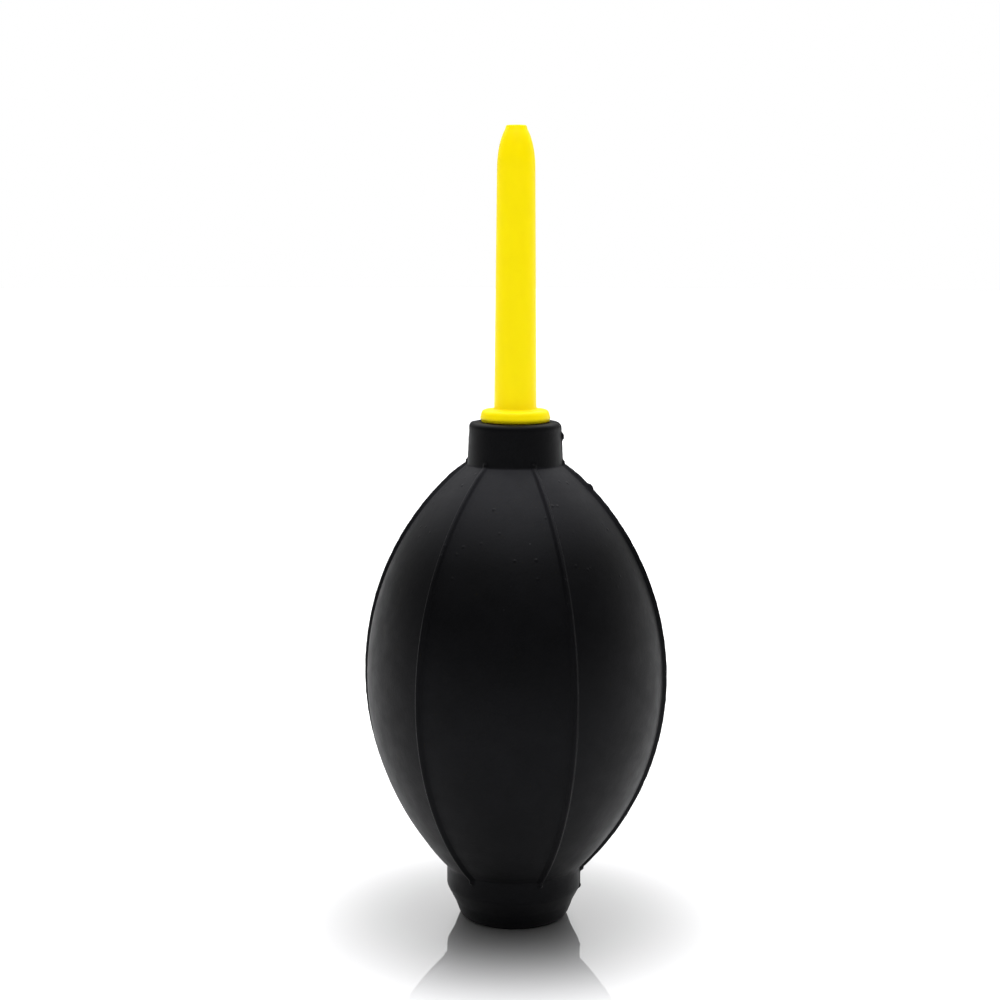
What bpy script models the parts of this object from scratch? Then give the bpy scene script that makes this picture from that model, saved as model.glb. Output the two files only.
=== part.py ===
"""Dust blower bulb: a ribbed hollow rubber bulb with a push-in nozzle and two one-way valves.

Frame: +Z runs up the bulb's own axis to the nozzle's tip. The origin is the centre of the foot's
underside. Metres, real size. -Y is the front and +X is the front's right-hand side.
Each piece that moves has its origin on the bulb's axis, which is every joint's axis.
"""
import bpy
import bmesh
from math import asin, cos, degrees, pi, radians, sin, sqrt
from mathutils import Matrix

MM = 0.001
GAP = 0.3 * MM                      # clearance between neighbouring pieces

# Rubber bulb
BELLY_R = 25.1 * MM                 # largest radius of the wall, between ribs
BELLY_Z = 41.63 * MM                # height of that radius
SIDE_ARC_R = 46.07 * MM             # radius of the arc that turns the bulb's side
WALL = 2.6 * MM
NECK_Z = 77.5 * MM                  # where the side meets the collar
WAIST_Z = 8.8 * MM                  # where the side meets the base ring
COLLAR_TOP_Z = 84.6 * MM
COLLAR_BOTTOM_R = 7.95 * MM
COLLAR_TOP_R = 7.6 * MM
COLLAR_ROUND = 1.0 * MM
NECK_BORE_R = 4.2 * MM
SLEEVE_R = 6.4 * MM                 # the neck's thickened part inside the bulb
SLEEVE_BOTTOM_Z = 69.5 * MM
SHOULDER_INSIDE_Z = 74.0 * MM
FLOOR_INSIDE_Z = 10.3 * MM

# Ribs
RIB_COUNT = 6
RIB_TURN = radians(-7.9)            # angle of the first rib from +X
RIB_BEAD_R = 0.5 * MM               # the rib is a round bead, half buried in the wall
RIB_LIFT = 0.05 * MM                # of the bead's centre above the wall
RIB_TOP_Z = 78.2 * MM
RIB_BOTTOM_Z = 8.0 * MM
RIB_KNEE_RISE = 0.3 * MM            # the rib turns from the collar to the side over this height
RIB_KNEE_DROP = 1.2 * MM
RIB_FOOT_RISE = 0.2 * MM            # above the waist, where it turns onto the base ring

# Base ring and foot
RING_R = 11.4 * MM
RING_EDGE = 0.5 * MM                # rounding of the ring's lower edge
RING_BOTTOM_Z = 5.4 * MM            # where the ring starts to slope in to the foot
FOOT_TOP_R = 10.0 * MM
FOOT_TOP_Z = 2.7 * MM
FOOT_BOTTOM_R = 9.0 * MM
FOOT_ROUND = 1.25 * MM
BASE_BORE_R = 5.4 * MM
RECESS_R = 7.0 * MM                 # recess under the foot for the inlet valve's flange
RECESS_DEPTH = 1.8 * MM

# Nozzle
TIP_Z = 133.0 * MM
TIP_R = 1.65 * MM                   # the tip's flat end
TIP_CHAMFER = 0.7 * MM
TIP_START_Z = 126.0 * MM
TIP_ELLIPSE = 7.8 * MM              # half length of the ellipse that rounds the tip
TUBE_TOP_R = 3.14 * MM
TUBE_BOTTOM_R = 3.52 * MM
ORIFICE_R = 0.8 * MM
NOZZLE_BORE_R = 2.0 * MM
FLANGE_HEIGHT = 1.75 * MM
FLANGE_TOP_R = 5.5 * MM             # the flange is a bead that widens downwards
FLANGE_TOP_ROUND = 0.8 * MM
FLANGE_R = 5.85 * MM
FLANGE_EDGE_RISE = 0.45 * MM        # height of its widest edge above its underside
FLANGE_FOOT_R = 5.6 * MM
STEM_R = 3.55 * MM
BARB_R = 3.9 * MM
BARB_COUNT = 3
STEM_BOTTOM_Z = 77.0 * MM
STEM_PLAIN_END = 1.0 * MM           # below the last barb
STEM_LEAD_IN = 0.4 * MM
FIRST_BARB_DROP = 0.8 * MM          # below the flange
BARB_EDGE = 0.2 * MM
BARB_LENGTH = 1.6 * MM
BORE_TAPER_LENGTH = 6.0 * MM        # from the main bore up to the orifice

# Outlet valve, in the neck below the nozzle's stem
OUT_SEAT_R = 3.9 * MM
OUT_SEAT_BOTTOM_Z = 69.9 * MM
OUT_SEAT_TOP_Z = 76.4 * MM
OUT_CHAMBER_R = 2.9 * MM
OUT_PORT_R = 1.4 * MM
OUT_FLOOR = 1.5 * MM
OUT_LIP = 1.6 * MM
OUT_LIP_R = 1.9 * MM
OUT_DISC_R = 2.5 * MM
OUT_SLOT_WIDTH = 1.2 * MM

# Inlet valve, in the base
IN_BODY_R = 5.1 * MM
IN_FLANGE_R = 6.7 * MM
IN_FLANGE_BOTTOM_Z = 0.5 * MM
IN_CHAMBER_R = 3.9 * MM
IN_SEAT_Z = 7.2 * MM                # top of the seat plate
IN_SEAT_THICK = 1.2 * MM
IN_PORT_R = 1.9 * MM
IN_BARB_R = 5.9 * MM
IN_BODY_TOP_Z = 12.6 * MM
IN_LEAD_IN = 0.3 * MM
IN_BARB_LAND = 0.5 * MM
IN_DISC_R = 3.3 * MM
DISC_THICK = 0.8 * MM
DISC_LIFT = 1.2 * MM
CAGE_THICK = 1.2 * MM
CAGE_HOLE_COUNT = 4
CAGE_HOLE_R = 0.9 * MM
STRAINER_Z = 1.3 * MM
STRAINER_THICK = 0.9 * MM
STRAINER_HOLE_R = 0.5 * MM
STRAINER_PITCH = 1.35 * MM          # step between the rings of holes
STRAINER_RINGS = (5, 10)            # holes in each ring round the middle one
CUT_MARGIN = 1.0 * MM               # a hole's cutter passes this far beyond the plate

MERGE = 0.00001


def clear_scene():
    for obj in list(bpy.data.objects):
        bpy.data.objects.remove(obj)


def new_collection(name):
    collection = bpy.data.collections.new(name)
    bpy.context.scene.collection.children.link(collection)
    return collection


def plastic(name, colour, roughness):
    material = bpy.data.materials.new(name)
    material.use_nodes = True
    shader = material.node_tree.nodes["Principled BSDF"]
    shader.inputs["Base Color"].default_value = (*colour, 1.0)
    shader.inputs["Roughness"].default_value = roughness
    shader.inputs["Metallic"].default_value = 0.0
    material.diffuse_color = (*colour, 1.0)
    return material


def add_object(name, mesh, collection, material=None, z=0.0):
    obj = bpy.data.objects.new(name, mesh)
    obj.location.z = z
    collection.objects.link(obj)
    if material:
        mesh.materials.append(material)
    return obj


def arc(centre_r, centre_z, radius, start, end, count):
    """Points (r, z) on a circle in the profile plane, from angle start to end in degrees."""
    angles = [radians(start + (end - start) * i / count) for i in range(count + 1)]
    return [(centre_r + radius * cos(a), centre_z + radius * sin(a)) for a in angles]


def turned(name, profile, steps, collection, material=None, origin_z=0.0, ring=True):
    """A solid of revolution about +Z. A ring's profile is a closed loop off the axis, and any
    other profile runs down from the axis and back to it."""
    mesh = bpy.data.meshes.new(name)
    points = [(r, 0.0, z - origin_z) for r, z in profile]
    edges = [(i, i + 1) for i in range(len(points) - 1)]
    if ring:
        edges.append((len(points) - 1, 0))
    mesh.from_pydata(points, edges, [])
    obj = add_object(name, mesh, collection, material, origin_z)
    screw = obj.modifiers.new("Turn", "SCREW")
    screw.axis = "Z"
    screw.angle = 2.0 * pi
    screw.steps = steps
    screw.render_steps = steps
    screw.use_merge_vertices = True
    screw.merge_threshold = MERGE
    screw.use_smooth_shade = True
    return obj


def boolean(obj, other, operation):
    modifier = obj.modifiers.new(operation.title(), "BOOLEAN")
    modifier.operation = operation
    modifier.solver = "EXACT"
    modifier.object = other


def guide(obj):
    obj.hide_render = True
    obj.display_type = "WIRE"
    return obj


def box_cutter(name, size, centre, turn, cutters):
    mesh = bpy.data.meshes.new(name)
    bm = bmesh.new()
    bmesh.ops.create_cube(bm, size=1.0)
    bmesh.ops.scale(bm, vec=size, verts=bm.verts)
    bmesh.ops.translate(bm, vec=centre, verts=bm.verts)
    bmesh.ops.rotate(bm, cent=(0, 0, 0), matrix=Matrix.Rotation(turn, 3, "Z"), verts=bm.verts)
    bm.to_mesh(mesh)
    bm.free()
    return guide(add_object(name, mesh, cutters))


def hole_ring(count, radius):
    angles = [2 * pi * i / count for i in range(count)]
    return [(radius * cos(a), radius * sin(a)) for a in angles]


def hole_cutters(name, places, radius, low_z, high_z, cutters):
    """One mesh of separate upright pins, which a difference turns into a group of holes."""
    mesh = bpy.data.meshes.new(name)
    bm = bmesh.new()
    for x, y in places:
        place = Matrix.Translation((x, y, (low_z + high_z) / 2))
        bmesh.ops.create_cone(bm, cap_ends=True, segments=12, radius1=radius, radius2=radius,
                              depth=high_z - low_z, matrix=place)
    bm.to_mesh(mesh)
    bm.free()
    return guide(add_object(name, mesh, cutters))


def side_points(z_top, z_bottom, count, inset=0.0):
    """Points down the bulb's side arc, or down a surface inset from it."""
    radius = SIDE_ARC_R - inset
    top, bottom = (degrees(asin((z - BELLY_Z) / radius)) for z in (z_top, z_bottom))
    return arc(BELLY_R - SIDE_ARC_R, BELLY_Z, radius, top, bottom, count)


def bulb_profile():
    taper = (COLLAR_BOTTOM_R - COLLAR_TOP_R) / (COLLAR_TOP_Z - NECK_Z)
    collar_edge_r = COLLAR_TOP_R - COLLAR_ROUND + taper * COLLAR_ROUND
    collar = arc(collar_edge_r, COLLAR_TOP_Z - COLLAR_ROUND, COLLAR_ROUND, 90, 0, 4)
    outside = side_points(NECK_Z, WAIST_Z, 20)
    ring = [(RING_R, WAIST_Z - RING_EDGE)]
    ring += arc(RING_R - RING_EDGE, RING_BOTTOM_Z, RING_EDGE, 0, -45, 2)
    foot = arc(FOOT_BOTTOM_R - FOOT_ROUND, FOOT_ROUND, FOOT_ROUND, 0, -90, 3)
    inside = side_points(SHOULDER_INSIDE_Z, FLOOR_INSIDE_Z, 12, WALL)
    profile = [(NECK_BORE_R, COLLAR_TOP_Z)] + collar
    profile += [(COLLAR_BOTTOM_R, NECK_Z)] + outside + ring
    profile += [(FOOT_TOP_R, FOOT_TOP_Z)] + foot
    profile += [(RECESS_R, 0.0), (RECESS_R, RECESS_DEPTH), (BASE_BORE_R, RECESS_DEPTH)]
    profile += [(BASE_BORE_R, FLOOR_INSIDE_Z)] + inside[::-1]
    profile += [(SLEEVE_R, SHOULDER_INSIDE_Z), (SLEEVE_R, SLEEVE_BOTTOM_Z)]
    profile += [(NECK_BORE_R, SLEEVE_BOTTOM_Z)]
    return profile


def rib_path():
    """The rib's centre line, on the bulb's surface: collar foot, side, then the base ring."""
    collar = [(COLLAR_BOTTOM_R, RIB_TOP_Z)]
    collar.append((COLLAR_BOTTOM_R + RIB_LIFT, NECK_Z + RIB_KNEE_RISE))
    side = side_points(NECK_Z - RIB_KNEE_DROP, WAIST_Z + RIB_FOOT_RISE, 18, -RIB_LIFT)
    return collar + side + [(RING_R, RIB_BOTTOM_Z)]


def make_ribs(cutters):
    """Six round beads along the side, joined in one mesh of separate closed bodies."""
    path = rib_path()
    curve = bpy.data.curves.new("rib_bead", "CURVE")
    curve.dimensions = "3D"
    curve.bevel_depth = RIB_BEAD_R
    curve.bevel_resolution = 2
    curve.use_fill_caps = True
    spline = curve.splines.new("POLY")
    spline.points.add(len(path) - 1)
    for point, (r, z) in zip(spline.points, path):
        point.co = (r, 0.0, z, 1.0)
    bead = bpy.data.objects.new("rib_bead", curve)
    cutters.objects.link(bead)
    depsgraph = bpy.context.evaluated_depsgraph_get()
    one_rib = bpy.data.meshes.new_from_object(bead.evaluated_get(depsgraph))
    bpy.data.objects.remove(bead)
    bm = bmesh.new()
    for index in range(RIB_COUNT):
        turn = Matrix.Rotation(2 * pi * index / RIB_COUNT, 4, "Z")
        copy = one_rib.copy()
        copy.transform(turn)
        bm.from_mesh(copy)
        bpy.data.meshes.remove(copy)
    bmesh.ops.remove_doubles(bm, verts=bm.verts, dist=MERGE)
    bmesh.ops.recalc_face_normals(bm, faces=bm.faces)
    ribs = bpy.data.meshes.new("ribs")
    bm.to_mesh(ribs)
    bm.free()
    return guide(add_object("ribs", ribs, cutters))


def make_bulb(parts, cutters, rubber):
    bulb = turned("bulb", bulb_profile(), 36, parts, rubber)
    ribs = make_ribs(cutters)
    bulb.rotation_euler.z = RIB_TURN
    ribs.rotation_euler.z = RIB_TURN
    boolean(bulb, ribs, "UNION")
    return bulb


def nozzle_profile():
    stem_top_z = COLLAR_TOP_Z + GAP
    flange_top_z = stem_top_z + FLANGE_HEIGHT
    tip_steps = 6
    last = (TIP_Z - TIP_CHAMFER - TIP_START_Z) / TIP_ELLIPSE
    tip = [(TIP_R, TIP_Z)]
    for i in range(tip_steps):
        along = last * (1 - i / tip_steps)
        tip.append((TUBE_TOP_R * sqrt(1 - along ** 2), TIP_START_Z + TIP_ELLIPSE * along))
    round_r, round_z = FLANGE_TOP_R - FLANGE_TOP_ROUND, flange_top_z - FLANGE_TOP_ROUND
    flange = arc(round_r, round_z, FLANGE_TOP_ROUND, 90, 0, 4)
    flange += [(FLANGE_R, stem_top_z + FLANGE_EDGE_RISE), (FLANGE_FOOT_R, stem_top_z)]
    barb_pitch = (stem_top_z - STEM_BOTTOM_Z - STEM_PLAIN_END) / BARB_COUNT
    stem = [(STEM_R, stem_top_z)]
    for i in range(BARB_COUNT):
        top = stem_top_z - FIRST_BARB_DROP - i * barb_pitch
        stem += [(STEM_R, top), (BARB_R, top - BARB_EDGE), (STEM_R, top - BARB_LENGTH)]
    stem += [(STEM_R, STEM_BOTTOM_Z + STEM_LEAD_IN), (STEM_R - STEM_LEAD_IN, STEM_BOTTOM_Z)]
    profile = tip + [(TUBE_TOP_R, TIP_START_Z), (TUBE_BOTTOM_R, flange_top_z)]
    profile += flange + stem
    profile += [(NOZZLE_BORE_R, STEM_BOTTOM_Z), (NOZZLE_BORE_R, TIP_START_Z - BORE_TAPER_LENGTH)]
    profile += [(ORIFICE_R, TIP_START_Z), (ORIFICE_R, TIP_Z)]
    return profile


def make_nozzle(parts, yellow):
    return turned("nozzle", nozzle_profile(), 28, parts, yellow, COLLAR_TOP_Z)


def make_outlet_valve(parts, cutters, seat_plastic, flap_rubber):
    floor_z = OUT_SEAT_BOTTOM_Z + OUT_FLOOR
    lip_z = OUT_SEAT_TOP_Z - OUT_LIP
    profile = [(OUT_LIP_R, OUT_SEAT_TOP_Z), (OUT_SEAT_R, OUT_SEAT_TOP_Z)]
    profile += [(OUT_SEAT_R, OUT_SEAT_BOTTOM_Z), (OUT_PORT_R, OUT_SEAT_BOTTOM_Z)]
    profile += [(OUT_PORT_R, floor_z), (OUT_CHAMBER_R, floor_z)]
    profile += [(OUT_CHAMBER_R, lip_z), (OUT_LIP_R, lip_z)]
    seat = turned("outlet_valve_seat", profile, 24, parts, seat_plastic, OUT_SEAT_BOTTOM_Z)
    # Slots across the lip let air past the lifted disc.
    slot_size = (2 * OUT_CHAMBER_R, OUT_SLOT_WIDTH, 4 * OUT_LIP)
    for index in range(2):
        name = "outlet_slot_%d" % (index + 1)
        centre = (0.0, 0.0, OUT_SEAT_TOP_Z + OUT_LIP)
        cutter = box_cutter(name, slot_size, centre, index * pi / 2, cutters)
        boolean(seat, cutter, "DIFFERENCE")
    low = floor_z + GAP
    disc = [(0.0, low + DISC_THICK), (OUT_DISC_R, low + DISC_THICK), (OUT_DISC_R, low), (0.0, low)]
    turned("outlet_valve_disc", disc, 24, parts, flap_rubber, low, ring=False)


def make_inlet_body(parts, body_plastic):
    flange_top_z = RECESS_DEPTH - GAP
    barb_z = FLOOR_INSIDE_Z + GAP
    seat_bottom_z = IN_SEAT_Z - IN_SEAT_THICK
    profile = [(IN_CHAMBER_R, IN_BODY_TOP_Z), (IN_BODY_R - IN_LEAD_IN, IN_BODY_TOP_Z)]
    profile += [(IN_BARB_R, barb_z + IN_BARB_LAND), (IN_BARB_R, barb_z), (IN_BODY_R, barb_z)]
    profile += [(IN_BODY_R, flange_top_z), (IN_FLANGE_R, flange_top_z)]
    profile += [(IN_FLANGE_R, IN_FLANGE_BOTTOM_Z + IN_LEAD_IN)]
    profile += [(IN_FLANGE_R - IN_LEAD_IN, IN_FLANGE_BOTTOM_Z), (IN_CHAMBER_R, IN_FLANGE_BOTTOM_Z)]
    profile += [(IN_CHAMBER_R, seat_bottom_z), (IN_PORT_R, seat_bottom_z)]
    profile += [(IN_PORT_R, IN_SEAT_Z), (IN_CHAMBER_R, IN_SEAT_Z)]
    return turned("inlet_valve_body", profile, 32, parts, body_plastic)


def make_inlet_disc(parts, flap_rubber):
    low = IN_SEAT_Z + GAP
    disc = [(0.0, low + DISC_THICK), (IN_DISC_R, low + DISC_THICK), (IN_DISC_R, low), (0.0, low)]
    turned("inlet_valve_disc", disc, 28, parts, flap_rubber, low, ring=False)


def make_inlet_cage(parts, cutters, body_plastic):
    """A pierced cap inside the top of the valve body, which stops the lifting disc."""
    low = IN_SEAT_Z + DISC_THICK + DISC_LIFT + 2 * GAP
    high = low + CAGE_THICK
    radius = IN_CHAMBER_R - GAP
    outline = [(0.0, high), (radius, high), (radius, low), (0.0, low)]
    cage = turned("inlet_valve_cage", outline, 28, parts, body_plastic, low, ring=False)
    places = hole_ring(CAGE_HOLE_COUNT, 0.6 * radius)
    holes = hole_cutters("cage_holes", places, CAGE_HOLE_R, low - CUT_MARGIN, high + CUT_MARGIN, cutters)
    boolean(cage, holes, "DIFFERENCE")


def make_strainer(parts, cutters, screen_plastic):
    """A pierced disc that keeps grit out of the inlet valve."""
    high = STRAINER_Z + STRAINER_THICK
    radius = IN_CHAMBER_R - GAP
    outline = [(0.0, high), (radius, high), (radius, STRAINER_Z), (0.0, STRAINER_Z)]
    strainer = turned("inlet_strainer", outline, 28, parts, screen_plastic, STRAINER_Z, ring=False)
    places = [(0.0, 0.0)]
    for ring, count in enumerate(STRAINER_RINGS):
        places += hole_ring(count, (ring + 1) * STRAINER_PITCH)
    low = STRAINER_Z - CUT_MARGIN
    holes = hole_cutters("strainer_holes", places, STRAINER_HOLE_R, low, high + CUT_MARGIN, cutters)
    boolean(strainer, holes, "DIFFERENCE")


def main():
    clear_scene()
    parts = new_collection("dust_blower_bulb")
    cutters = new_collection("cutters")
    rubber = plastic("black_rubber", (0.012, 0.012, 0.014), 0.62)
    yellow = plastic("yellow_plastic", (0.93, 0.66, 0.005), 0.38)
    valve_plastic = plastic("valve_plastic", (0.05, 0.05, 0.055), 0.45)
    flap_rubber = plastic("flap_silicone", (0.55, 0.56, 0.55), 0.5)
    make_bulb(parts, cutters, rubber)
    make_nozzle(parts, yellow)
    make_outlet_valve(parts, cutters, valve_plastic, flap_rubber)
    make_inlet_body(parts, valve_plastic)
    make_inlet_disc(parts, flap_rubber)
    make_inlet_cage(parts, cutters, valve_plastic)
    make_strainer(parts, cutters, valve_plastic)


main()
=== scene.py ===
"""Looks of the dust blower bulb: a moulded black rubber bulb, a yellow nozzle and its valves."""
from math import asin, cos, degrees, pi, radians, sin, sqrt

import bpy
import numpy as np
from mathutils import Matrix, Vector, noise


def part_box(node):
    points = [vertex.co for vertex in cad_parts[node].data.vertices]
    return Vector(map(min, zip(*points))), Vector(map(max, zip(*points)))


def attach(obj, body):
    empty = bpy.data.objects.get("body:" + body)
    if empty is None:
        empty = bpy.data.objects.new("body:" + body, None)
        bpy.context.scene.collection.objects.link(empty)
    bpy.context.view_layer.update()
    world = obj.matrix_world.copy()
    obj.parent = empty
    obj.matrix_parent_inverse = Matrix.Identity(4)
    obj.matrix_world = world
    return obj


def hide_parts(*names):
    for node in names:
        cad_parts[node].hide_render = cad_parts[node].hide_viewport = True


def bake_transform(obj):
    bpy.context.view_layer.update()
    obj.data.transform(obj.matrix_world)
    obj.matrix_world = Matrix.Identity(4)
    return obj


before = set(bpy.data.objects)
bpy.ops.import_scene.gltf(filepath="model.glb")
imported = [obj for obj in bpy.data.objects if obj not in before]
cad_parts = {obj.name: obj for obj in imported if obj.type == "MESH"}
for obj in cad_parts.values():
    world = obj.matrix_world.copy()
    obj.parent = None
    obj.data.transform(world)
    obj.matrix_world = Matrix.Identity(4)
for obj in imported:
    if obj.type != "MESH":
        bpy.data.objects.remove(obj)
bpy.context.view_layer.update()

MM = 0.001
bulb_low, bulb_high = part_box("bulb")
nozzle_low, nozzle_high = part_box("nozzle")

# Bulb, in millimetres
COLLAR_TOP_Z = bulb_high.z / MM
COLLAR_HEIGHT = 7.1
NECK_Z = COLLAR_TOP_Z - COLLAR_HEIGHT
COLLAR_TOP_R = 7.6
COLLAR_BOTTOM_R = 7.95
WAIST_Z = 8.8
BELLY_R = 25.1
BELLY_Z = 41.63
SIDE_ARC_R = 46.07
WALL = 2.6
NECK_BORE_R = 4.2
SLEEVE_R = 6.4
SLEEVE_BOTTOM_Z = 69.5
SHOULDER_INSIDE_Z = 74.0
FLOOR_INSIDE_Z = 10.3
RING_R = 11.4
RING_BOTTOM_Z = 5.4
FOOT_TOP_R = 10.0
FOOT_TOP_Z = 2.7
FOOT_BOTTOM_R = 9.0
FOOT_ROUND = 1.25
BASE_BORE_R = 5.4
RECESS_R = 7.0
RECESS_DEPTH = 1.8

# Ribs and moulding marks, in millimetres
RIB_COUNT = 6
RIB_TURN = radians(-7.9)
RIB_HEIGHT = 0.55
RIB_HALF_WIDTH = 0.43
RIB_TOP_Z = 78.0
RIB_BOTTOM_Z = 8.5
RIB_TOP_SHARE = 0.6                 # of its height that a rib keeps at its top end
RIB_TOP_FADE = 3.0
RIB_OFFSETS = (0.05, 0.1, 0.16, 0.24, 0.33, 0.42, 0.52, 0.62, 0.74, 0.9)  # of the mesh columns
PANEL_COLUMNS = 13
PANEL_FLATNESS = 0.02               # share of the radius lost in the middle of a panel
PANEL_FADE_R = 4.0                  # the flatness fades in over this much radius and height
PANEL_FADE_Z = 5.0
FLASH_HEIGHT = 0.13
FLASH_HALF_WIDTH = 0.11
FLASH_RIBS = (0, 3)                 # the mould parts along these two ribs
# Torn flash on the parting line: rib, height above the floor, length, how far it stands out
FLASH_NUBS = ((0, 82.3, 0.6, 0.36), (0, 73.6, 0.4, 0.25), (0, 5.2, 0.4, 0.2))
NUB_HALF_WIDTH = 0.3
WAVE_HEIGHT = 0.03                  # slow unevenness of the moulding
WAVE_SCALE = (0.09, 0.09, 0.07)     # waves per millimetre along x, y and z
NORMAL_REACH = 0.8                  # distance over which the skin's normals are smoothed
OUTSIDE_FIRST_ROW = 3               # the first rows round off the neck's bore
OUTSIDE_LAST_Z = 0.3
FINE_ABOVE_Z = 72.0
FINE_BELOW_Z = 10.5
FINE_SPACING = 0.22                 # of the mesh rows
WIDE_SPACING = 0.8

# Marks on the rubber: heights over which each one fades, in millimetres
SHOULDER_Z = (54.0, 64.0)           # pimples and specks of dust lie above it
# the next band lightens the shoulder's base colour: painted sheen where the top light falls
SHOULDER_SHEEN_Z = (62.0, 77.0)
COLLAR_FOOT_Z = (77.3, 77.9)        # the collar has no pimples and no painted sheen

# Nozzle, in millimetres
TIP_Z = nozzle_high.z / MM
STEM_BOTTOM_Z = nozzle_low.z / MM
FLANGE_GAP = 0.03                   # between the collar and the flange
FLANGE_STAND = 2.05                 # top of the flange above the collar
FLANGE_BOTTOM_Z = COLLAR_TOP_Z + FLANGE_GAP
FLANGE_TOP_Z = COLLAR_TOP_Z + FLANGE_STAND
FLANGE_TOP_R = 5.5                  # the flange is a bead that widens downwards
FLANGE_TOP_ROUND = 0.85
FLANGE_R = 5.85
FLANGE_EDGE_RISE = 0.6              # height of its widest edge above its underside
FLANGE_FOOT_R = 5.6
TIP_R = 1.65
TIP_CHAMFER = 0.7
TIP_START_Z = 126.0
TIP_ELLIPSE = 7.8
TUBE_TOP_R = 3.14
TUBE_BOTTOM_R = 3.52
ORIFICE_R = 0.8
NOZZLE_BORE_R = 2.0
STEM_R = 3.55
BARB_R = 3.9
BARB_COUNT = 3
BARB_EDGE = 0.2
BARB_LENGTH = 1.6
FIRST_BARB_DROP = 0.8               # below the flange
STEM_PLAIN_END = 1.0                # of its length, left out when the barbs are spaced
STEM_LEAD_IN = 0.4
BORE_TAPER_LENGTH = 6.0             # from the main bore up to the orifice
NOZZLE_COLUMNS = 120
NOZZLE_SPACING = 0.5

# Inlet valve body, in millimetres
INLET_R = 5.1
INLET_FLANGE_R = 6.7
INLET_FLANGE_Z = 0.5
INLET_FLANGE_TOP_Z = 1.5
INLET_CHAMBER_R = 3.9
INLET_PORT_R = 1.9
INLET_SEAT_BOTTOM_Z = 6.0
INLET_SEAT_Z = 7.2
INLET_BARB_R = 5.9
INLET_BARB_Z = 10.6
INLET_BARB_LAND = 0.5
INLET_TOP_Z = 12.6
INLET_LEAD_IN = 0.3
INLET_COLUMNS = 96
INLET_SPACING = 0.4

# Colours, each pair for its darker and its lighter patches
RUBBER_BLACKS = ((0.0011, 0.0011, 0.0013), (0.0019, 0.0019, 0.0023))
RUBBER_DUST = (0.07, 0.07, 0.073)
# painted sheen: a lighter black for the shoulder, standing in for the top light's shine
RUBBER_SHOULDER_SHEEN = (0.0125, 0.0125, 0.0145)
NOZZLE_YELLOWS = ((0.955, 0.753, 0.0), (0.975, 0.785, 0.001))
VALVE_GREYS = ((0.035, 0.036, 0.04), (0.05, 0.051, 0.056))
SILICONE_WHITES = ((0.62, 0.63, 0.61), (0.7, 0.71, 0.7))
FLOOR_WHITES = ((0.89, 0.89, 0.9), (0.91, 0.91, 0.92))

# Camera
CAMERA_AT = Vector((-2.5, -314.3, 114.9)) * MM
CAMERA_PITCH = radians(7.87)
CAMERA_ROLL = radians(0.15)
CAMERA_LENS = 68.4

# Studio light
DOME_BRIGHTEST = 5.0
DOME_FALLOFF = 4.5
DOME_HORIZON = 0.03
DOME_TILT = radians(10.0)           # of the dome's brightest point, from overhead to the back
# Name, place, point it faces, size in metres, watts
SOFTBOXES = (
    ("left_softbox", (-0.40, 0.36, 0.10), (0.0, 0.0, 0.06), (0.45, 0.32), 0.18),
    ("right_softbox", (0.44, 0.28, 0.10), (0.0, 0.0, 0.06), (0.45, 0.32), 0.32),
    ("back_softbox", (0.0, 0.36, 0.40), (0.0, 0.0, 0.0), (1.1, 0.25), 1.2),
    ("top_softbox", (0.0, -0.20, 0.52), (0.0, 0.0, 0.1), (0.3, 0.3), 0.4),
)
FLOOR_RADIUS = 4.0
FLOOR_MIRROR = 0.86                 # share of the floor's polish at the object's foot
FLOOR_MIRROR_FADE = (8.0 * MM, 60.0 * MM)
FLOOR_POLISH = (0.0, 0.3)           # roughness of its clear part and of its hazy part
FLOOR_HAZE = 0.24                   # share of the hazy part
FLOOR_SKY = 0.82                    # brightness that its clear part mirrors, all round


# ---------------------------------------------------------------- profiles
# A profile's corner is (r, z, rounding), and a rounding of 0 leaves it as a plain point.

def arc(centre_r, centre_z, radius, start, end, count):
    """Points (r, z) on a circle in the profile plane, from angle start to end in degrees."""
    angles = np.radians(np.linspace(start, end, count + 1))
    return [(centre_r + radius * cos(a), centre_z + radius * sin(a)) for a in angles]


def side_points(z_top, z_bottom, count, inset=0.0):
    """Points down the bulb's side arc, or down a surface inset from it."""
    radius = SIDE_ARC_R - inset
    top, bottom = (degrees(asin((z - BELLY_Z) / radius)) for z in (z_top, z_bottom))
    return arc(BELLY_R - SIDE_ARC_R, BELLY_Z, radius, top, bottom, count)


def rounded(corners, steps=5):
    """Replaces each corner by a curve tangent to its two sides, on less than half of each."""
    points = []
    count = len(corners)
    for i, (r, z, radius) in enumerate(corners):
        here = np.array((r, z))
        back = np.array(corners[i - 1][:2]) - here
        ahead = np.array(corners[(i + 1) % count][:2]) - here
        if radius <= 0:
            points.append((r, z))
            continue
        back_unit = back / np.linalg.norm(back)
        ahead_unit = ahead / np.linalg.norm(ahead)
        half = np.arccos(np.clip(back_unit @ ahead_unit, -1, 1)) / 2
        reach = min(radius / np.tan(half), 0.45 * np.linalg.norm(back), 0.45 * np.linalg.norm(ahead))
        for t in np.linspace(0, 1, steps + 1):
            a, b = here + back_unit * reach, here + ahead_unit * reach
            points.append(tuple((1 - t) ** 2 * a + 2 * t * (1 - t) * here + t ** 2 * b))
    return points


def resampled(points, spacing):
    """A closed profile cut into even steps; spacing(r, z) gives the step's length."""
    loop = np.array(points + points[:1])
    result = [loop[0]]
    for a, b in zip(loop[:-1], loop[1:]):
        length = np.linalg.norm(b - a)
        if length < 1e-6:
            continue
        steps = max(1, round(length / spacing(*((a + b) / 2))))
        result += [a + (b - a) * k / steps for k in range(1, steps + 1)]
    return np.array(result[:-1])


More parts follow.
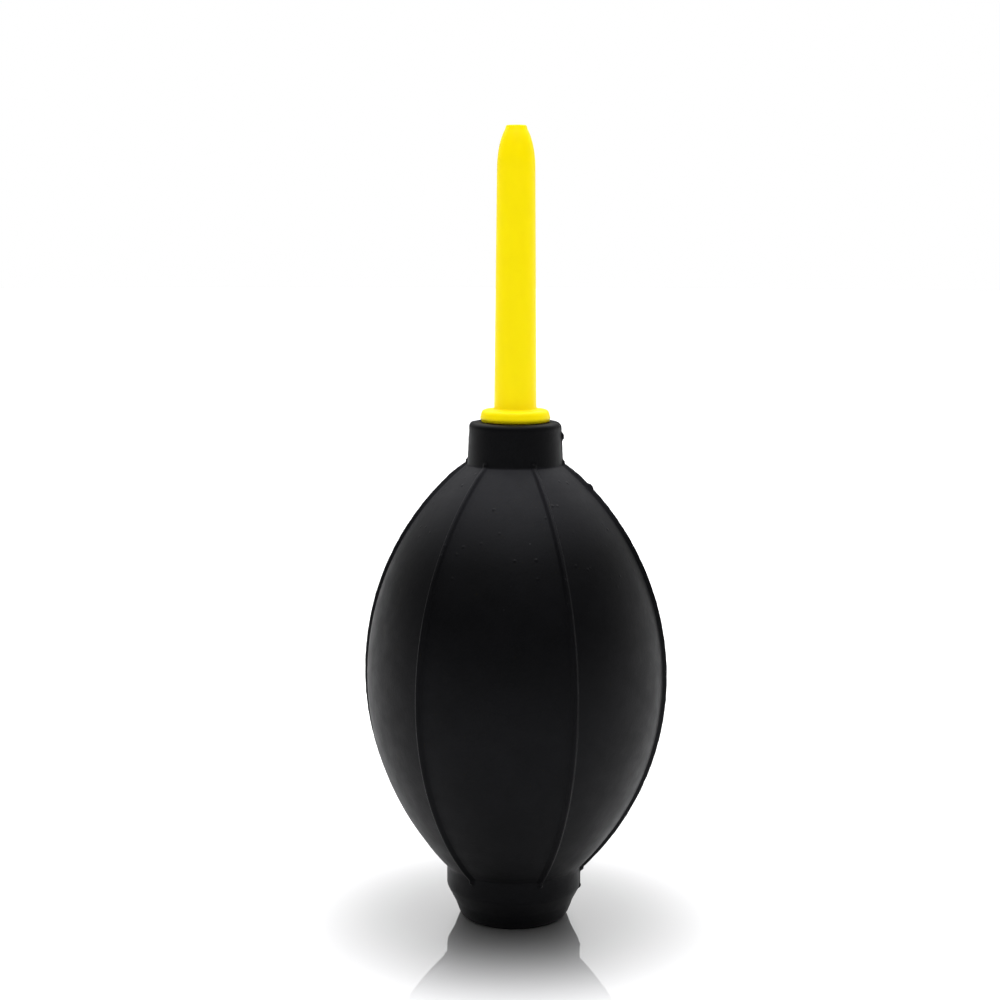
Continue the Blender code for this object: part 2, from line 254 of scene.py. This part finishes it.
def profile_normals(rows, reach):
    """Outward normals of a closed profile that runs down its outer side, smoothed over reach."""
    ahead = np.roll(rows, -1, axis=0) - rows
    lengths = np.linalg.norm(ahead, axis=1)
    along = np.concatenate(([0.0], np.cumsum(lengths)[:-1]))
    edge = np.stack((-ahead[:, 1], ahead[:, 0]), axis=1)
    middle = along + lengths / 2
    total = lengths.sum()
    normals = np.empty_like(rows)
    for i, u in enumerate(along):
        away = (middle - u + total / 2) % total - total / 2
        weight = np.exp(-(away / reach) ** 2)
        n = (edge * weight[:, None]).sum(axis=0)
        normals[i] = n / np.linalg.norm(n)
    return normals, along


def ring_mesh(name, points, smooth_angle=50):
    """A closed surface from a grid of points: rows along a closed profile, columns round +Z."""
    rows, columns = points.shape[:2]
    index = np.arange(rows * columns).reshape(rows, columns)
    right = np.roll(index, -1, axis=1)
    below = np.roll(index, -1, axis=0)
    corner = np.roll(below, -1, axis=1)
    quads = np.stack((index, below, corner, right), axis=-1).reshape(-1, 4)
    mesh = bpy.data.meshes.new(name)
    mesh.from_pydata((points.reshape(-1, 3) * MM).tolist(), [], quads.tolist())
    mesh.shade_smooth()
    mesh.set_sharp_from_angle(angle=radians(smooth_angle))
    obj = bpy.data.objects.new(name, mesh)
    bpy.context.scene.collection.objects.link(obj)
    return obj


def turned_piece(name, profile, columns, spacing):
    rows = resampled(profile, lambda r, z: spacing)
    angles = np.linspace(0, 2 * pi, columns, endpoint=False)
    r, z = rows[:, :1], rows[:, 1:]
    flat = np.ones((1, columns))
    points = np.stack((r * np.cos(angles), r * np.sin(angles), z * flat), axis=-1)
    return ring_mesh(name, points)


# ---------------------------------------------------------------- rubber bulb

def bulb_profile():
    corners = [(NECK_BORE_R, COLLAR_TOP_Z, 0.35), (COLLAR_TOP_R, COLLAR_TOP_Z, 1.0),
               (COLLAR_BOTTOM_R, NECK_Z, 0.35)]
    side = side_points(NECK_Z - 0.6, WAIST_Z + 0.8, 90)
    corners += [(r, z, 0) for r, z in side]
    corners += [(RING_R, WAIST_Z + 0.05, 1.3), (RING_R, RING_BOTTOM_Z, 2.0)]
    corners.append((FOOT_TOP_R, FOOT_TOP_Z, 4.0))
    corners += [(FOOT_BOTTOM_R, 0.0, FOOT_ROUND), (RECESS_R, 0.0, 0.25), (RECESS_R, RECESS_DEPTH, 0.2)]
    corners += [(BASE_BORE_R, RECESS_DEPTH, 0.25), (BASE_BORE_R, FLOOR_INSIDE_Z, 0.3)]
    inside = side_points(SHOULDER_INSIDE_Z - 0.2, FLOOR_INSIDE_Z + 0.2, 60, WALL)
    corners += [(r, z, 0) for r, z in inside[::-1]]
    corners += [(SLEEVE_R, SHOULDER_INSIDE_Z, 0.4), (SLEEVE_R, SLEEVE_BOTTOM_Z, 0.4)]
    corners += [(NECK_BORE_R, SLEEVE_BOTTOM_Z, 0.3)]
    return rounded(corners)


def bulb_spacing(r, z):
    """Fine rows where ribs end and edges turn, wide rows down the sides and inside."""
    side_r = sqrt(SIDE_ARC_R ** 2 - (z - BELLY_Z) ** 2) - SIDE_ARC_R + BELLY_R
    at_an_end = z > FINE_ABOVE_Z or z < FINE_BELOW_Z
    return FINE_SPACING if at_an_end and r > side_r - WALL / 2 else WIDE_SPACING


def bulb_columns(radius):
    """Angles of the columns at each row, and each one's distance from its nearest rib."""
    offsets = np.array([-s for s in RIB_OFFSETS[::-1]] + [0.0] + list(RIB_OFFSETS))
    share = np.arange(1, PANEL_COLUMNS) / PANEL_COLUMNS
    sector = 2 * pi / RIB_COUNT
    edge = RIB_OFFSETS[-1] / radius
    angles, ribs = [], []
    for k in range(RIB_COUNT):
        rib = RIB_TURN + k * sector
        angles.append(rib + offsets[None, :] / radius[:, None])
        angles.append(rib + edge[:, None] + share[None, :] * (sector - 2 * edge)[:, None])
        ribs += [k] * len(offsets) + [k if s < 0.5 else (k + 1) % RIB_COUNT for s in share]
    angles = np.concatenate(angles, axis=1)
    ribs = np.array(ribs)
    turn = angles - (RIB_TURN + ribs * sector)[None, :]
    turn = (turn + pi) % (2 * pi) - pi
    return angles, ribs, turn


def rib_lift(across, along, top, bottom):
    """How far the ribs stand out: beads with round ends, lower towards the collar."""
    past = np.maximum(np.maximum(top - along, along - bottom), 0.0)[:, None]
    fade = np.clip((along - top) / RIB_TOP_FADE, 0, 1)[:, None]
    height = RIB_HEIGHT * (RIB_TOP_SHARE + (1 - RIB_TOP_SHARE) * fade)
    return height * np.exp(-np.abs(np.hypot(across, past) / RIB_HALF_WIDTH) ** 3)


def flash_lift(across, along, z, ribs):
    """How far the thin, ragged line where the mould parts stands out, with its torn nubs."""
    raggedness = np.array([0.75 + 0.5 * noise.noise((u * 0.9, 0.0, 3.1)) for u in along])[:, None]
    line = FLASH_HEIGHT * raggedness * np.exp(-(across / FLASH_HALF_WIDTH) ** 2)
    lift = np.where(np.isin(ribs, FLASH_RIBS)[None, :], line, 0.0)
    for rib, nub_z, length, height in FLASH_NUBS:
        shape = np.exp(-(across / NUB_HALF_WIDTH) ** 2 - (((z - nub_z) / length) ** 4)[:, None])
        lift += np.where((ribs == rib)[None, :], height * shape, 0.0)
    return lift


def panel_dip(turn, r, z):
    """How far the panels between the ribs lie inside the round, most at their middles."""
    mid_panel = np.abs(turn) / (pi / RIB_COUNT)
    on_side = np.clip((r - COLLAR_BOTTOM_R) / PANEL_FADE_R, 0, 1)
    on_side *= np.clip((z - WAIST_Z) / PANEL_FADE_Z, 0, 1)
    return PANEL_FLATNESS * r[:, None] * (1 - (1 - mid_panel) ** 2) * on_side[:, None]


def unevenness(x, y, z, uneven_rows):
    """The slow waves of a hand-size rubber moulding."""
    wave = np.zeros_like(x)
    for i in np.flatnonzero(uneven_rows):
        places = np.stack((x[i], y[i], z[i]), axis=-1) * WAVE_SCALE
        wave[i] = [WAVE_HEIGHT * noise.noise(place) for place in places.tolist()]
    return wave


def make_bulb():
    rows = resampled(bulb_profile(), bulb_spacing)
    normals, along = profile_normals(rows, NORMAL_REACH)
    r, z = rows[:, 0], rows[:, 1]
    angles, ribs, turn = bulb_columns(r)
    across = turn * r[:, None]

    outside = np.zeros(len(rows), dtype=bool)
    outside[OUTSIDE_FIRST_ROW:int(np.argmax(z < OUTSIDE_LAST_Z))] = True
    top = along[int(np.argmax((z < RIB_TOP_Z) & outside))]
    bottom = along[int(np.argmax((z < RIB_BOTTOM_Z) & outside))]
    lift = rib_lift(across, along, top, bottom) + flash_lift(across, along, z, ribs)
    lift *= outside[:, None]
    dip = panel_dip(turn, r, z) * outside[:, None]

    radial = r[:, None] + lift * normals[:, :1] - dip
    height = z[:, None] + lift * normals[:, 1:]
    x, y = radial * np.cos(angles), radial * np.sin(angles)
    wave = unevenness(x, y, height, outside & (z > WAIST_Z + 1) & (z < NECK_Z - 1))
    x += wave * np.cos(angles)
    y += wave * np.sin(angles)
    bulb = ring_mesh("bulb_skin", np.stack((x, y, height), axis=-1))
    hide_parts("bulb")
    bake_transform(bulb)
    return bulb


# ---------------------------------------------------------------- nozzle

def nozzle_profile():
    corners = [(ORIFICE_R, TIP_Z, 0.15), (TIP_R, TIP_Z, 0.3)]
    last = (TIP_Z - TIP_CHAMFER - TIP_START_Z) / TIP_ELLIPSE
    for along in np.linspace(last, 0, 24):
        corners.append((TUBE_TOP_R * sqrt(1 - along ** 2), TIP_START_Z + TIP_ELLIPSE * along, 0))
    corners += [(TUBE_BOTTOM_R, FLANGE_TOP_Z, 0.5), (FLANGE_TOP_R, FLANGE_TOP_Z, FLANGE_TOP_ROUND)]
    corners += [(FLANGE_R, FLANGE_BOTTOM_Z + FLANGE_EDGE_RISE, 0.5), (FLANGE_FOOT_R, FLANGE_BOTTOM_Z, 0.15)]
    corners.append((STEM_R, FLANGE_BOTTOM_Z, 0.2))
    pitch = (FLANGE_BOTTOM_Z - STEM_BOTTOM_Z - STEM_PLAIN_END) / BARB_COUNT
    for i in range(BARB_COUNT):
        top = FLANGE_BOTTOM_Z - FIRST_BARB_DROP - i * pitch
        corners += [(STEM_R, top, 0.05), (BARB_R, top - BARB_EDGE, 0.08), (STEM_R, top - BARB_LENGTH, 0.1)]
    corners += [(STEM_R, STEM_BOTTOM_Z + STEM_LEAD_IN, 0.1), (STEM_R - STEM_LEAD_IN, STEM_BOTTOM_Z, 0.1)]
    corners += [(NOZZLE_BORE_R, STEM_BOTTOM_Z, 0.2), (NOZZLE_BORE_R, TIP_START_Z - BORE_TAPER_LENGTH, 1.0)]
    corners += [(ORIFICE_R, TIP_START_Z, 0.5)]
    return rounded(corners)


def make_nozzle():
    nozzle = turned_piece("nozzle_moulding", nozzle_profile(), NOZZLE_COLUMNS, NOZZLE_SPACING)
    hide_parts("nozzle")
    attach(nozzle, "nozzle")
    return nozzle


def make_inlet_body():
    corners = [(INLET_CHAMBER_R, INLET_TOP_Z, 0.15), (INLET_R - INLET_LEAD_IN, INLET_TOP_Z, 0.2)]
    corners += [(INLET_BARB_R, INLET_BARB_Z + INLET_BARB_LAND, 0.2), (INLET_BARB_R, INLET_BARB_Z, 0.15)]
    corners += [(INLET_R, INLET_BARB_Z, 0.1), (INLET_R, INLET_FLANGE_TOP_Z, 0.2)]
    corners += [(INLET_FLANGE_R, INLET_FLANGE_TOP_Z, 0.2), (INLET_FLANGE_R, INLET_FLANGE_Z, 0.35)]
    corners += [(INLET_CHAMBER_R, INLET_FLANGE_Z, 0.25), (INLET_CHAMBER_R, INLET_SEAT_BOTTOM_Z, 0.2)]
    corners += [(INLET_PORT_R, INLET_SEAT_BOTTOM_Z, 0.25), (INLET_PORT_R, INLET_SEAT_Z, 0.15)]
    corners.append((INLET_CHAMBER_R, INLET_SEAT_Z, 0.2))
    body = turned_piece("inlet_body_moulding", rounded(corners), INLET_COLUMNS, INLET_SPACING)
    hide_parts("inlet_valve_body")
    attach(body, "base")
    return body


# ---------------------------------------------------------------- materials

class Nodes:
    """Short calls for building one material's node tree."""

    def __init__(self, name):
        self.material = bpy.data.materials.new(name)
        self.material.use_nodes = True
        self.tree = self.material.node_tree
        self.shader = self.tree.nodes["Principled BSDF"]
        self.position = self.tree.nodes.new("ShaderNodeTexCoord").outputs["Object"]

    def set(self, **values):
        for name, value in values.items():
            self.shader.inputs[name.replace("_", " ")].default_value = value

    def link(self, output, socket):
        self.tree.links.new(output, self.shader.inputs[socket])

    def scaled(self, scale):
        node = self.tree.nodes.new("ShaderNodeMapping")
        node.inputs["Scale"].default_value = scale
        self.tree.links.new(self.position, node.inputs["Vector"])
        return node.outputs["Vector"]

    def noise(self, size_mm, detail=3.0, roughness=0.5, stretch=(1, 1, 1)):
        node = self.tree.nodes.new("ShaderNodeTexNoise")
        node.inputs["Scale"].default_value = 1.0
        node.inputs["Detail"].default_value = detail
        node.inputs["Roughness"].default_value = roughness
        vector = self.scaled([s / (size_mm * MM) for s in stretch])
        self.tree.links.new(vector, node.inputs["Vector"])
        return node.outputs["Fac"]

    def specks(self, pitch_mm):
        node = self.tree.nodes.new("ShaderNodeTexVoronoi")
        node.inputs["Scale"].default_value = 1.0
        node.inputs["Randomness"].default_value = 1.0
        self.tree.links.new(self.scaled([1 / (pitch_mm * MM)] * 3), node.inputs["Vector"])
        return node.outputs["Distance"]

    def remap(self, value, low, high, to_low, to_high):
        node = self.tree.nodes.new("ShaderNodeMapRange")
        node.interpolation_type = "SMOOTHSTEP"
        for name, number in zip(("From Min", "From Max", "To Min", "To Max"), (low, high, to_low, to_high)):
            node.inputs[name].default_value = number
        self.tree.links.new(value, node.inputs["Value"])
        return node.outputs["Result"]

    def fade(self, band, low, high):
        """One value below a band of heights in millimetres, another above it."""
        node = self.tree.nodes.new("ShaderNodeSeparateXYZ")
        self.tree.links.new(self.position, node.inputs["Vector"])
        return self.remap(node.outputs["Z"], band[0] * MM, band[1] * MM, low, high)

    def multiply(self, a, b):
        node = self.tree.nodes.new("ShaderNodeMath")
        node.operation = "MULTIPLY"
        self.tree.links.new(a, node.inputs[0])
        self.tree.links.new(b, node.inputs[1])
        return node.outputs["Value"]

    def blend(self, factor, first, second):
        node = self.tree.nodes.new("ShaderNodeMix")
        node.data_type = "RGBA"
        self.tree.links.new(factor, node.inputs["Factor"])
        for socket, colour in (("A", first), ("B", second)):
            target = next(s for s in node.inputs if s.name == socket and s.type == "RGBA")
            if isinstance(colour, tuple):
                target.default_value = (*colour, 1.0)
            else:
                self.tree.links.new(colour, target)
        return next(s for s in node.outputs if s.type == "RGBA")

    def bump(self, height, depth_mm, below=None):
        node = self.tree.nodes.new("ShaderNodeBump")
        node.inputs["Strength"].default_value = 1.0
        node.inputs["Distance"].default_value = depth_mm * MM
        self.tree.links.new(height, node.inputs["Height"])
        if below:
            self.tree.links.new(below, node.inputs["Normal"])
        return node.outputs["Normal"]


def rubber_material():
    m = Nodes("moulded_black_rubber")
    m.set(Metallic=0.0, IOR=1.45, Specular_IOR_Level=0.09, Specular_Tint=(0.92, 0.94, 1.0, 1.0))
    cloudy = m.noise(9.0, 4.0, 0.6)
    fine = m.noise(0.35, 2.0, 0.5)
    clouds = m.remap(cloudy, 0.35, 0.7, 0.0, 1.0)
    base = m.blend(clouds, *RUBBER_BLACKS)
    shoulder = m.fade(SHOULDER_Z, 0.0, 1.0)
    dust_spot = m.remap(m.specks(2.2), 0.03, 0.075, 1.0, 0.0)
    dusty_area = m.multiply(m.remap(m.noise(5.0, 2.0), 0.5, 0.64, 0.0, 0.5), shoulder)
    base = m.blend(m.multiply(dust_spot, dusty_area), base, RUBBER_DUST)
    # painted sheen: the shoulder below the collar gets a lighter base colour, as if lit from above
    below_collar = m.fade(COLLAR_FOOT_Z, 1.0, 0.0)
    painted_sheen = m.multiply(m.fade(SHOULDER_SHEEN_Z, 0.0, 1.0), below_collar)
    base = m.blend(painted_sheen, base, RUBBER_SHOULDER_SHEEN)
    m.link(base, "Base Color")
    m.link(m.remap(m.noise(3.0, 4.0), 0.3, 0.7, 0.47, 0.53), "Roughness")
    grain = m.bump(fine, 0.012)
    pimples = m.multiply(m.remap(m.specks(2.0), 0.0, 0.2, 1.0, 0.0), m.multiply(shoulder, below_collar))
    patches = m.remap(m.noise(2.6, 1.0), 0.4, 0.6, 0.0, 1.0)
    pimpled = m.bump(m.multiply(pimples, patches), 0.09, grain)
    m.link(m.bump(m.noise(1.4, 2.0), 0.02, pimpled), "Normal")
    return m.material


def yellow_material():
    m = Nodes("yellow_moulded_plastic")
    m.set(Metallic=0.0, IOR=1.49, Specular_IOR_Level=0.08)
    m.set(Subsurface_Weight=0.12, Subsurface_Radius=(1.0, 0.7, 0.05), Subsurface_Scale=0.002)
    tint = m.remap(m.noise(6.0, 3.0, 0.5, (1, 1, 0.3)), 0.3, 0.7, 0.0, 1.0)
    m.link(m.blend(tint, *NOZZLE_YELLOWS), "Base Color")
    m.link(m.remap(m.noise(1.2, 4.0), 0.3, 0.7, 0.33, 0.43), "Roughness")
    m.link(m.bump(m.noise(0.5, 3.0), 0.006), "Normal")
    return m.material


def valve_material():
    m = Nodes("valve_moulded_plastic")
    m.set(Metallic=0.0, IOR=1.5)
    m.link(m.blend(m.noise(2.0, 3.0), *VALVE_GREYS), "Base Color")
    m.link(m.remap(m.noise(0.8, 3.0), 0.3, 0.7, 0.38, 0.5), "Roughness")
    m.link(m.bump(m.noise(0.25, 2.0), 0.008), "Normal")
    return m.material


def silicone_material():
    m = Nodes("milky_silicone")
    m.set(Metallic=0.0, IOR=1.41, Subsurface_Weight=0.3, Subsurface_Scale=0.001)
    m.link(m.blend(m.noise(1.5, 2.0), *SILICONE_WHITES), "Base Color")
    m.link(m.remap(m.noise(0.7, 2.0), 0.3, 0.7, 0.4, 0.52), "Roughness")
    m.link(m.bump(m.noise(0.3, 2.0), 0.006), "Normal")
    return m.material


def paint(obj, material):
    obj.data.materials.clear()
    obj.data.materials.append(material)


# ---------------------------------------------------------------- studio

def make_camera():
    data = bpy.data.cameras.new("camera")
    data.lens = CAMERA_LENS
    data.clip_start = 0.01
    data.clip_end = 20
    camera = bpy.data.objects.new("camera", data)
    camera.location = CAMERA_AT
    tilt = Matrix.Rotation(pi / 2 - CAMERA_PITCH, 3, "X") @ Matrix.Rotation(CAMERA_ROLL, 3, "Z")
    camera.rotation_euler = tilt.to_euler()
    bpy.context.scene.collection.objects.link(camera)
    bpy.context.scene.camera = camera


def softbox(name, place, target, size, watts):
    data = bpy.data.lights.new(name, "AREA")
    data.shape = "RECTANGLE"
    data.size, data.size_y = size
    data.energy = watts
    light = bpy.data.objects.new(name, data)
    light.location = place
    light.rotation_mode = "QUATERNION"
    light.rotation_quaternion = (Vector(place) - Vector(target)).to_track_quat("Z", "Y")
    light.visible_camera = False
    bpy.context.scene.collection.objects.link(light)


def make_floor():
    """A pale matt floor with a polish round the foot, which only the camera sees."""
    bpy.ops.mesh.primitive_circle_add(vertices=96, radius=FLOOR_RADIUS, fill_type="NGON")
    floor = bpy.context.object
    floor.name = "studio_floor"
    m = Nodes("pale_floor")
    m.set(Metallic=0.0, Roughness=0.6, Specular_IOR_Level=0.0)
    m.link(m.blend(m.noise(60.0, 2.0), *FLOOR_WHITES), "Base Color")
    polish = m.tree.nodes.new("ShaderNodeMixShader")
    polish.inputs["Fac"].default_value = FLOOR_HAZE
    for socket, roughness in zip(polish.inputs[1:], FLOOR_POLISH):
        gloss = m.tree.nodes.new("ShaderNodeBsdfGlossy")
        gloss.inputs["Roughness"].default_value = roughness
        m.tree.links.new(gloss.outputs["BSDF"], socket)
    distance = m.tree.nodes.new("ShaderNodeVectorMath")
    distance.operation = "LENGTH"
    m.tree.links.new(m.position, distance.inputs[0])
    polished = m.tree.nodes.new("ShaderNodeMixShader")
    mirror = m.remap(distance.outputs["Value"], *FLOOR_MIRROR_FADE, FLOOR_MIRROR, 0.0)
    seen = m.tree.nodes.new("ShaderNodeLightPath").outputs["Is Camera Ray"]
    m.tree.links.new(m.multiply(mirror, seen), polished.inputs["Fac"])
    m.tree.links.new(m.shader.outputs["BSDF"], polished.inputs[1])
    m.tree.links.new(polish.outputs["Shader"], polished.inputs[2])
    m.tree.links.new(polished.outputs["Shader"], m.tree.nodes["Material Output"].inputs["Surface"])
    floor.data.materials.append(m.material)


def make_world():
    """A white backdrop, and for the lighting a soft dome: bright above, dim at the horizon.
    The floor's clear polish mirrors an even grey in place of the dome."""
    world = bpy.data.worlds.new("studio")
    world.use_nodes = True
    tree = world.node_tree

    def math(operation, a, b):
        node = tree.nodes.new("ShaderNodeMath")
        node.operation = operation
        for socket, value in zip(node.inputs, (a, b)):
            if isinstance(value, float):
                socket.default_value = value
            else:
                tree.links.new(value, socket)
        return node.outputs["Value"]

    direction = tree.nodes.new("ShaderNodeTexCoord").outputs["Generated"]
    towards = tree.nodes.new("ShaderNodeVectorMath")
    towards.operation = "DOT_PRODUCT"
    tree.links.new(direction, towards.inputs[0])
    towards.inputs[1].default_value = (0.0, sin(DOME_TILT), cos(DOME_TILT))
    glow = math("POWER", math("MAXIMUM", towards.outputs["Value"], 0.0), DOME_FALLOFF)
    dome = math("ADD", math("MULTIPLY", glow, DOME_BRIGHTEST), DOME_HORIZON)
    path = tree.nodes.new("ShaderNodeLightPath")
    seen, mirrored = path.outputs["Is Camera Ray"], path.outputs["Is Singular Ray"]
    lighting = math("MULTIPLY", dome, math("SUBTRACT", math("SUBTRACT", 1.0, seen), mirrored))
    strength = math("ADD", math("ADD", lighting, math("MULTIPLY", mirrored, FLOOR_SKY)), seen)
    tree.links.new(strength, tree.nodes["Background"].inputs["Strength"])
    tree.nodes["Background"].inputs["Color"].default_value = (1.0, 1.0, 1.0, 1.0)
    bpy.context.scene.world = world


def make_studio():
    make_world()
    make_floor()
    for name, place, target, size, watts in SOFTBOXES:
        softbox(name, place, target, size, watts)
    bpy.context.scene.view_settings.view_transform = "Standard"


make_camera()
make_studio()
paint(make_bulb(), rubber_material())
paint(make_nozzle(), yellow_material())
valve_plastic = valve_material()
silicone = silicone_material()
paint(make_inlet_body(), valve_plastic)
for node in ("outlet_valve_seat", "inlet_valve_cage", "inlet_strainer"):
    paint(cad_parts[node], valve_plastic)
for node in ("outlet_valve_disc", "inlet_valve_disc"):
    paint(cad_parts[node], silicone)
